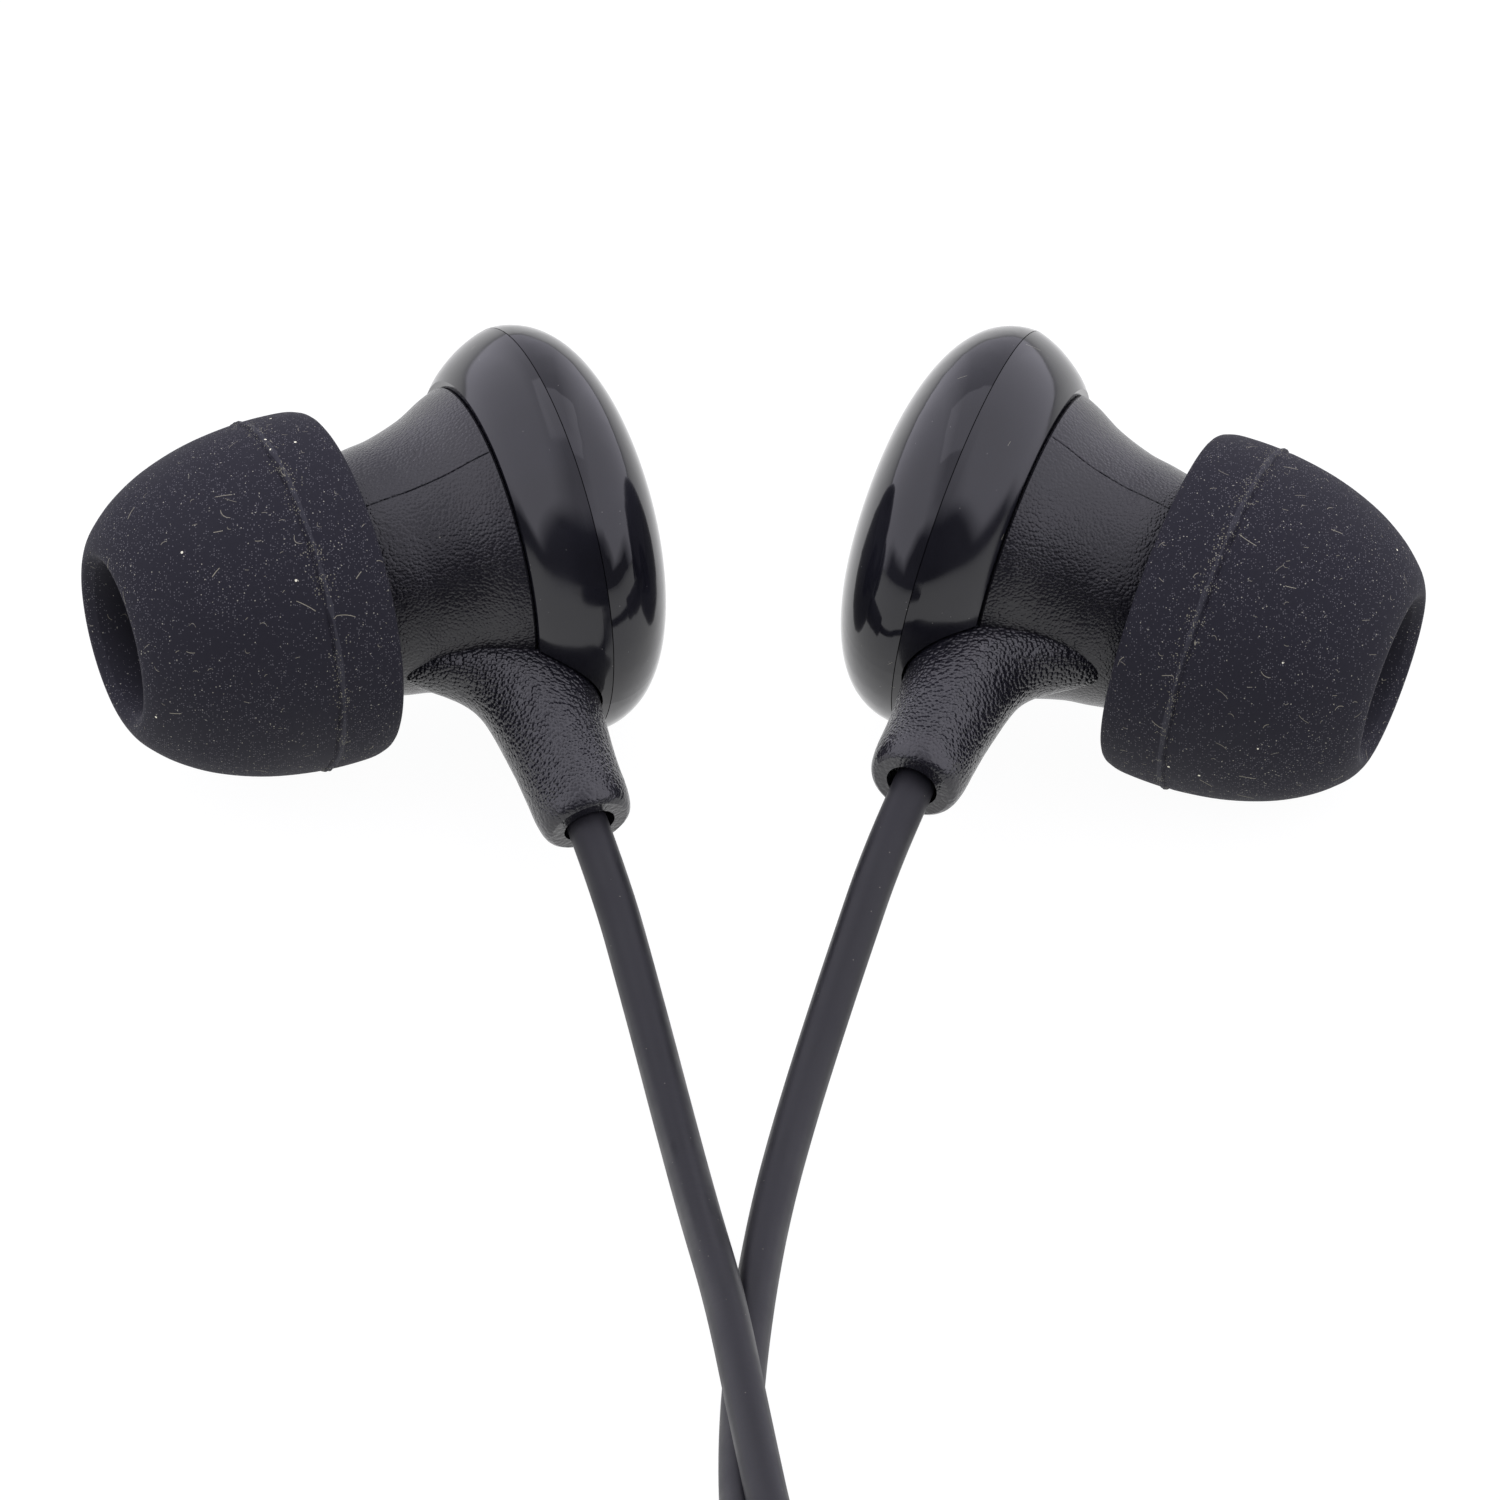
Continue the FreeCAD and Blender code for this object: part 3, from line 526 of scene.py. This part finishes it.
# lint on the ear tips: cell size, half length, half width, share of cells, greatest bend
# (per millimetre), shift and strength
LINT = [
    (0.9, 0.27, 0.009, 0.06, 0.8, 5, 0.50),
    (1.5, 0.38, 0.012, 0.08, 0.5, 9, 0.75),
    (0.6, 0.13, 0.009, 0.10, 8.0, 17, 0.60),
    (1.2, 0.24, 0.011, 0.13, 4.0, 19, 0.70),
]


class Nodes:
    """A node tree, with short calls that add to it."""

    def __init__(self, tree):
        self.tree = tree

    def add(self, kind, **settings):
        node = self.tree.nodes.new(kind)
        for key, value in settings.items():
            setattr(node, key, value)
        return node

    def join(self, value, socket):
        """Link a socket to another one, or set it to a value."""
        if isinstance(value, bpy.types.NodeSocket):
            self.tree.links.new(value, socket)
        else:
            socket.default_value = value

    def maths(self, operation, *values):
        node = self.add("ShaderNodeMath", operation=operation)
        for value, socket in zip(values, node.inputs):
            self.join(value, socket)
        return node.outputs[0]

    def vector(self, operation, *values):
        node = self.add("ShaderNodeVectorMath", operation=operation)
        for value, socket in zip(values, node.inputs):
            self.join(value, socket)
        return node.outputs["Value" if operation == "DOT_PRODUCT" else "Vector"]

    def between(self, value, low, high, to_low, to_high):
        """Map a range onto another, and stay inside it."""
        node = self.add("ShaderNodeMapRange")
        for number, socket in zip((value, low, high, to_low, to_high), node.inputs):
            self.join(number, socket)
        return node.outputs[0]


class Finish(Nodes):
    """A new procedural material, built up from nodes."""

    def __init__(self, name, colour, roughness, metallic=0.0, specular=0.5):
        self.material = bpy.data.materials.new(name)
        self.material.use_nodes = True
        super().__init__(self.material.node_tree)
        self.shader = self.tree.nodes["Principled BSDF"]
        self.shader.inputs["Metallic"].default_value = metallic
        self.shader.inputs["Specular IOR Level"].default_value = specular
        coordinates = self.add("ShaderNodeTexCoord")
        self.place = coordinates.outputs["Object"]
        self.normal = coordinates.outputs["Normal"]
        self.colour = (*colour, 1)
        self.roughness = roughness
        self.bumped = None

    def moved(self, distance):
        """The place, moved so that a pattern made there differs from the others."""
        return self.vector("ADD", self.place, (distance * MM, -distance * MM, distance * MM))

    def cloud(self, size, detail=2.0, shift=0.0):
        """Noise from 0 to 1 with features of a size."""
        node = self.add("ShaderNodeTexNoise")
        self.join(self.moved(shift), node.inputs["Vector"])
        node.inputs["Scale"].default_value = 1 / (size * MM)
        node.inputs["Detail"].default_value = detail
        return node.outputs["Fac"]

    def cells(self, size, shift=0.0):
        """Cells of a size: distance from their middle, a random colour, and their middle."""
        node = self.add("ShaderNodeTexVoronoi")
        place = self.moved(shift)
        self.join(place, node.inputs["Vector"])
        node.inputs["Scale"].default_value = 1 / (size * MM)
        return node.outputs["Distance"], node.outputs["Color"], node.outputs["Position"], place

    def pebbles(self, size, shift):
        """Uneven round bumps of a size, side by side, from 0 to 1."""
        distance, colour, _, _ = self.cells(size, shift)
        hollow = self.maths("POWER", self.between(distance, 0, 0.75, 0, 1), 2.0)
        dome = self.maths("SUBTRACT", 1.0, hollow)
        return self.maths("MULTIPLY", dome, self.between(self.chances(colour)[0], 0, 1, 0.55, 1))

    def chances(self, colour):
        """The three random numbers in a cell's colour."""
        node = self.add("ShaderNodeSeparateColor")
        self.join(colour, node.inputs[0])
        return node.outputs

    def grains(self, size, radius, share, shift=0.0):
        """1 on round grains, at most one to a cell, in a share of the cells."""
        distance, colour, _, _ = self.cells(size, shift)
        small = self.maths("LESS_THAN", distance, radius / size)
        chosen = self.maths("LESS_THAN", self.chances(colour)[0], share)
        return self.maths("MULTIPLY", small, chosen)

    def lint(self, size, half_length, half_width, share, most_bend, shift=0.0):
        """1 on short bent fibres that lie on the surface, at most one to a cell."""
        _, colour, centre, place = self.cells(size, shift)
        offset = self.vector("SUBTRACT", place, centre)
        random = self.vector("SUBTRACT", colour, (0.5, 0.5, 0.5))
        rise = self.vector("DOT_PRODUCT", random, self.normal)
        upright = self.vector("MULTIPLY", self.normal, self.spread(rise))
        along = self.vector("NORMALIZE", self.vector("SUBTRACT", random, upright))
        across = self.vector("CROSS_PRODUCT", self.normal, along)
        lengthwise = self.vector("DOT_PRODUCT", offset, along)
        sideways = self.vector("DOT_PRODUCT", offset, across)
        choice, turn, size_chance = self.chances(colour)[:3]
        bend = self.between(turn, 0, 1, -most_bend / MM, most_bend / MM)
        bow = self.maths("MULTIPLY", self.maths("MULTIPLY", lengthwise, lengthwise), bend)
        off_line = self.maths("ABSOLUTE", self.maths("ADD", sideways, bow))
        reach = self.between(size_chance, 0, 1, 0.35 * half_length * MM, half_length * MM)
        thin = self.maths("LESS_THAN", off_line, half_width * MM)
        short = self.maths("LESS_THAN", self.maths("ABSOLUTE", lengthwise), reach)
        chosen = self.maths("LESS_THAN", choice, share)
        return self.maths("MULTIPLY", self.maths("MULTIPLY", thin, short), chosen)

    def spread(self, number):
        """A vector with one number in all three places."""
        node = self.add("ShaderNodeCombineXYZ")
        for socket in node.inputs:
            self.join(number, socket)
        return node.outputs[0]

    def measured(self, side, axis):
        """Distance along an axis (0, 1 or 2) of an earphone's own frame, in millimetres."""
        matrix = earphone_matrix(side)
        direction = matrix.to_3x3().col[axis]
        along = self.vector("DOT_PRODUCT", self.place, tuple(direction))
        return self.maths("DIVIDE", self.maths("SUBTRACT", along, direction.dot(matrix.translation)), MM)

    def tint(self, share, colour):
        """Lay a colour over what is there, as far as share says."""
        node = self.add("ShaderNodeMix", data_type="RGBA")
        self.join(share, node.inputs[0])
        self.join(self.colour, node.inputs[6])
        self.join((*colour, 1), node.inputs[7])
        self.colour = node.outputs[2]

    def lay(self, mask, strength, colour):
        """Lay a colour over a mask, such as grains or fibres, at a strength."""
        self.tint(self.maths("MULTIPLY", mask, strength), colour)

    def mottle(self, pattern, colour, smoother, rougher):
        """Vary the colour and the roughness over a pattern."""
        self.tint(self.between(pattern, 0.3, 0.7, 0, 1), colour)
        self.roughness = self.between(pattern, 0.3, 0.7, smoother, rougher)

    def relief(self, height, depth):
        """Raise the surface by a height from 0 to 1 times a depth."""
        node = self.add("ShaderNodeBump")
        node.inputs["Distance"].default_value = depth * MM
        self.join(height, node.inputs["Height"])
        if self.bumped:
            self.join(self.bumped, node.inputs["Normal"])
        self.bumped = node.outputs[0]

    def done(self):
        self.join(self.colour, self.shader.inputs["Base Color"])
        self.join(self.roughness, self.shader.inputs["Roughness"])
        if self.bumped:
            self.join(self.bumped, self.shader.inputs["Normal"])
        return self.material


def silicone_finish(side):
    """Matte silicone full of fine dust, with pale specks, lint, and dirt along the mould line, a painted
    highlight on the line and painted shade inside the bore.
    """
    finish = Finish(f"{side}_silicone", (0.0142, 0.0137, 0.0205), 0.8, specular=0.22)
    patches = finish.cloud(2.8, 4)
    finish.tint(finish.between(patches, 0.35, 0.7, 0, 0.8), (0.0185, 0.0180, 0.0255))
    from_line = finish.maths("ABSOLUTE", finish.maths("SUBTRACT", finish.measured(side, 2), MOULD_LINE_Z))
    across = finish.maths("POWER", finish.measured(side, 0), 2.0)
    upwards = finish.maths("POWER", finish.measured(side, 1), 2.0)
    from_axis = finish.maths("SQRT", finish.maths("ADD", across, upwards))
    # 1 outside the bore and 0.12 inside it: lets the dust in only outside the bore, and sets the painted
    #                                        shade inside it
    dust_and_unshaded_share = finish.between(from_axis, TIP_SLEEVE_R, TIP_OUTSIDE[0][0], 0.12, 1)
    # painted highlight: a lighter, bluish band along the raised mould line, its width varied by noise
    line_highlight_spread = finish.cloud(1.3, 3, shift=11)
    line_edge = finish.between(line_highlight_spread, 0.36, 0.60, 0.03, 0.11)
    line_highlight_mask = finish.maths("LESS_THAN", from_line, line_edge)
    finish.lay(line_highlight_mask, 0.8, (0.037, 0.037, 0.046))
    by_line = finish.maths("MULTIPLY", finish.between(from_line, 0.05, 0.50, 1, 0),
                           finish.between(finish.cloud(0.8, 3, shift=13), 0.42, 0.60, 0, 1))
    haze_share = finish.maths("MULTIPLY", dust_and_unshaded_share, finish.between(patches, 0.35, 0.65, 0.30, 0.64))
    finish.lay(finish.grains(0.07, 0.020, haze_share), 0.75, (0.130, 0.128, 0.140))
    speck_share = finish.maths("MULTIPLY", dust_and_unshaded_share, finish.between(patches, 0.40, 0.65, 0.07, 0.26))
    finish.lay(finish.grains(0.12, 0.021, speck_share, shift=3), 0.9, (0.36, 0.35, 0.29))
    dirt_share = finish.maths("MULTIPLY", by_line, 0.55)
    finish.lay(finish.grains(0.065, 0.023, dirt_share, shift=15), 0.8, (0.25, 0.24, 0.18))
    finish.tint(finish.grains(0.95, 0.045, 0.30, shift=7), (0.80, 0.78, 0.62))
    for size, half_length, half_width, share, bend, shift, strength in LINT:
        fibres = finish.lint(size, half_length, half_width, share, bend, shift)
        finish.lay(fibres, strength, (0.36, 0.34, 0.26))
    # painted shade: the inside of the bore is darkened in colour, standing in for the shade in that recess
    finish.tint(finish.between(dust_and_unshaded_share, 0.12, 1, 0.7, 0), (0.004, 0.004, 0.006))
    finish.roughness = finish.between(patches, 0.3, 0.7, 0.74, 0.9)
    finish.relief(finish.cloud(0.05, 2, shift=2), 0.004)
    return finish.done()


def scaled(colour, factor):
    """A lighter or darker colour."""
    return tuple(factor * part for part in colour)


def moulded_finish(name, colour, roughness, grain, depth):
    """Plastic from a spark-textured mould: uneven pebbles, with a little dust."""
    finish = Finish(name, colour, roughness)
    finish.mottle(finish.cloud(3.5, 3), scaled(colour, 1.5), 0.9 * roughness, 1.12 * roughness)
    finish.relief(finish.pebbles(grain, 4), depth)
    finish.lay(finish.grains(0.35, 0.026, 0.05, shift=6), 0.7, PALE_DUST)
    return finish.done()


def stem_finish(side):
    """Coarse pebbled plastic with a smooth rim at the stem's end."""
    finish = Finish(f"{side}_stem_texture", (0.0068, 0.0066, 0.0098), 0.2, specular=0.65)
    finish.mottle(finish.cloud(3.5, 3), (0.0105, 0.0102, 0.0145), 0.19, 0.26)
    to_rim = finish.between(finish.measured(side, 0), STEM_RIM_X, STEM_RIM_X + 0.7, 1, 0.35)
    finish.relief(finish.maths("MULTIPLY", finish.pebbles(0.145, 4), to_rim), 0.042)
    finish.lay(finish.grains(0.35, 0.026, 0.09, shift=6), 0.7, PALE_DUST)
    return finish.done()


def gloss_finish(name, colour, roughness):
    """Polished plastic with faint smears and sparse dust."""
    finish = Finish(name, colour, roughness)
    smears = finish.cloud(2.2, 4)
    finish.tint(finish.between(smears, 0.3, 0.7, 0, 1), scaled(colour, 1.6))
    finish.roughness = finish.between(smears, 0.35, 0.7, 0.75 * roughness, 1.7 * roughness)
    finish.relief(finish.cloud(1.6, 1, shift=2), 0.006)
    finish.lay(finish.grains(0.3, 0.020, 0.22, shift=6), 0.45, (0.22, 0.215, 0.20))
    finish.lay(finish.lint(2.4, 0.30, 0.011, 0.22, 0.8, shift=8), 0.5, (0.3, 0.29, 0.22))
    return finish.done()


def jacket_finish():
    """Satin cord jacket with slight pressure marks and a few specks."""
    finish = Finish("cord_jacket_satin", (0.0090, 0.0088, 0.0118), 0.42, specular=0.34)
    finish.mottle(finish.cloud(1.6, 4), (0.0135, 0.0130, 0.0170), 0.36, 0.52)
    finish.relief(finish.cloud(0.9, 3, shift=3), 0.012)
    finish.lay(finish.grains(0.3, 0.022, 0.16, shift=6), 0.6, (0.2, 0.19, 0.16))
    return finish.done()


def metal_finish(name, colour, roughness, grain):
    """Plated or drawn metal with fine uneven marks."""
    finish = Finish(name, colour, roughness, metallic=1.0)
    finish.mottle(finish.cloud(grain, 5), scaled(colour, 0.86), 0.8 * roughness, 1.3 * roughness)
    finish.relief(finish.cloud(grain * 0.4, 3, shift=2), 0.0006)
    return finish.done()


def fibrous_finish(name, colour, grain, depth):
    """Open fibres or pores, for the foam and the acoustic paper."""
    finish = Finish(name, colour, 0.9, specular=0.2)
    distance, _, _, _ = finish.cells(grain)
    finish.tint(finish.between(distance, 0.2, 0.8, 0, 1), scaled(colour, 0.55))
    finish.roughness = finish.between(distance, 0, 1, 0.85, 0.98)
    finish.relief(distance, depth)
    return finish.done()


def all_finishes():
    """Finishes of the CAD pieces, by material slot or node, and of the funnels and the tie."""
    gloss_black = (0.0062, 0.0062, 0.0088)
    return {
        "housing_matte": moulded_finish("housing_spark_texture", (0.0055, 0.0053, 0.0078), 0.25, 0.11, 0.016),
        "left_cord_stem": stem_finish("left"),
        "right_cord_stem": stem_finish("right"),
        "shell_gloss": gloss_finish("shell_polished", gloss_black, 0.07),
        "ring_gloss": gloss_finish("ring_polished", gloss_black, 0.10),
        "screen_steel": metal_finish("screen_sheet", (0.10, 0.10, 0.105), 0.4, 0.3),
        "foam": fibrous_finish("gasket_foam", (0.05, 0.05, 0.05), 0.12, 0.05),
        "driver_plastic": moulded_finish("driver_moulding", (0.03, 0.03, 0.03), 0.5, 0.12, 0.006),
        "film": gloss_finish("diaphragm_film", (0.34, 0.24, 0.10), 0.2),
        "copper": metal_finish("enamelled_copper", (0.70, 0.33, 0.16), 0.25, 0.15),
        "steel": metal_finish("plated_steel", (0.55, 0.55, 0.56), 0.3, 0.4),
        "magnet_nickel": metal_finish("nickel_plating", (0.66, 0.64, 0.60), 0.15, 0.6),
        "paper": fibrous_finish("acoustic_paper", (0.72, 0.69, 0.60), 0.10, 0.02),
        "board": gloss_finish("board_lacquer", (0.015, 0.10, 0.04), 0.25),
        "tie_rubber": moulded_finish("tie_band_rubber", (0.014, 0.014, 0.016), 0.6, 0.12, 0.006),
        "boot_rubber": moulded_finish("overmould_rubber", (0.013, 0.0125, 0.016), 0.45, 0.14, 0.010),
        "plug_grip": moulded_finish("grip_satin", (0.011, 0.011, 0.014), 0.38, 0.10, 0.008),
        "contact_plated": metal_finish("contact_plating", (0.83, 0.80, 0.74), 0.12, 1.6),
        "insulator": gloss_finish("insulator_black", (0.012, 0.012, 0.013), 0.2),
    }


def dress_cad_nodes(finishes):
    """Give every CAD node its own finish, or else that of its material slot.

    The nodes that the finer ear tips and cords replace have neither, and stay plain."""
    for name, node in frame["nodes"].items():
        for place in node.material_slots:
            key = place.material.name.split(".")[0]
            if name.endswith("bezel_ring"):
                key = "ring_gloss"
            if name in finishes:
                key = name
            if key in finishes:
                place.material = finishes[key]


# ---- camera, floor and light -------------------------------------------------------------
ELEVATION = math.radians(40)
CAMERA_DISTANCE = 0.8
CAMERA_AIM = (-0.12, -0.55, 0)
SENSOR = 36.0
VIEW_WIDTH = 50.85 * MM
DOME_BRIGHT = 0.88
SIDES_BRIGHT = 1.60
GAP_BRIGHT = 0.07
LIGHT_TINT = (1.0, 0.98, 1.10, 1)
FLOOR_GLOW = 0.96
FLOOR_GLOW_FAR = 0.45
GLOW_FROM = 55 * MM
GLOW_TO = 420 * MM
FLOOR_HALF_SIDE = 2.0
OVERHEAD_PLACE = (0, 0.25, 1.0)
OVERHEAD_SIZE = (1.0, 0.8)
OVERHEAD_POWER = 1.5
# where the dome's brightness changes, as parts of a direction of length 1: (start, end)
SIDES_START_END = (0.22, 0.52)
MIDDLE_GAP_BACK = (-0.60, -0.74)
MIDDLE_GAP_UP = (0.70, 0.50)
LOW_GAP_BACK = (-0.08, -0.32)
LOW_GAP_UP = (0.24, 0.13)


def make_camera():
    data = bpy.data.cameras.new("camera")
    data.sensor_width = SENSOR
    data.lens = SENSOR * CAMERA_DISTANCE / VIEW_WIDTH
    camera = bpy.data.objects.new("camera", data)
    bpy.context.scene.collection.objects.link(camera)
    back = Vector((0, -math.cos(ELEVATION), math.sin(ELEVATION)))
    camera.location = metres(CAMERA_AIM) + back * CAMERA_DISTANCE
    camera.rotation_euler = (math.pi / 2 - ELEVATION, 0, 0)
    bpy.context.scene.camera = camera


def make_floor():
    """White floor that glows around the earphones and dims further away."""
    half = FLOOR_HALF_SIDE
    mesh = bpy.data.meshes.new("floor")
    corners = [(-half, -half, 0), (half, -half, 0), (half, half, 0), (-half, half, 0)]
    mesh.from_pydata(corners, [], [(0, 1, 2, 3)])
    floor = bpy.data.objects.new("floor", mesh)
    bpy.context.scene.collection.objects.link(floor)
    finish = Finish("floor_white", (0.08, 0.08, 0.08), 0.9, specular=0.1)
    distance = finish.add("ShaderNodeVectorMath", operation="LENGTH")
    finish.join(finish.place, distance.inputs[0])
    glow = finish.between(distance.outputs["Value"], GLOW_FROM, GLOW_TO, FLOOR_GLOW, FLOOR_GLOW_FAR)
    finish.shader.inputs["Emission Color"].default_value = (1, 1, 1, 1)
    finish.join(glow, finish.shader.inputs["Emission Strength"])
    mesh.materials.append(finish.done())


def area_light(name, place, size, power):
    """Soft box that faces the earphones."""
    data = bpy.data.lights.new(name, "AREA")
    data.shape = "RECTANGLE"
    data.size, data.size_y = size
    data.energy = power
    data.color = LIGHT_TINT[:3]
    light = bpy.data.objects.new(name, data)
    bpy.context.scene.collection.objects.link(light)
    light.location = place
    light.rotation_euler = (-Vector(place)).to_track_quat("-Z", "Y").to_euler()


def make_light():
    """Pale dome, brighter at both sides, and dark low down in front, where the camera stands."""
    world = bpy.data.worlds.new("studio")
    world.use_nodes = True
    dome = Nodes(world.node_tree)
    axes = dome.add("ShaderNodeSeparateXYZ")
    dome.join(dome.add("ShaderNodeTexCoord").outputs["Generated"], axes.inputs[0])
    sideways = dome.maths("ABSOLUTE", axes.outputs[0])
    towards_back = axes.outputs[1]
    up = axes.outputs[2]
    sides = dome.between(sideways, *SIDES_START_END, DOME_BRIGHT, SIDES_BRIGHT)
    middle_gap = dome.maths("MULTIPLY", dome.between(towards_back, *MIDDLE_GAP_BACK, 0, 1),
                            dome.between(up, *MIDDLE_GAP_UP, 0, 1))
    low_gap = dome.maths("MULTIPLY", dome.between(towards_back, *LOW_GAP_BACK, 0, 1),
                         dome.between(up, *LOW_GAP_UP, 0, 1))
    gap = dome.maths("MAXIMUM", middle_gap, low_gap)
    background = world.node_tree.nodes["Background"]
    background.inputs["Color"].default_value = LIGHT_TINT
    lit = dome.between(gap, 0, 1, 1, GAP_BRIGHT)
    dome.join(dome.maths("MULTIPLY", sides, lit), background.inputs["Strength"])
    bpy.context.scene.world = world
    area_light("overhead", OVERHEAD_PLACE, OVERHEAD_SIZE, OVERHEAD_POWER)
    bpy.context.scene.view_settings.view_transform = "Standard"


make_camera()
make_floor()
make_light()
finishes = all_finishes()
dress_cad_nodes(finishes)
make_tie_band(finishes["tie_rubber"])
make_cords()
for side, seed in (("left", 3.0), ("right", 11.0)):
    make_ear_tip(side, seed)
    make_front_housing(side, finishes["housing_matte"])
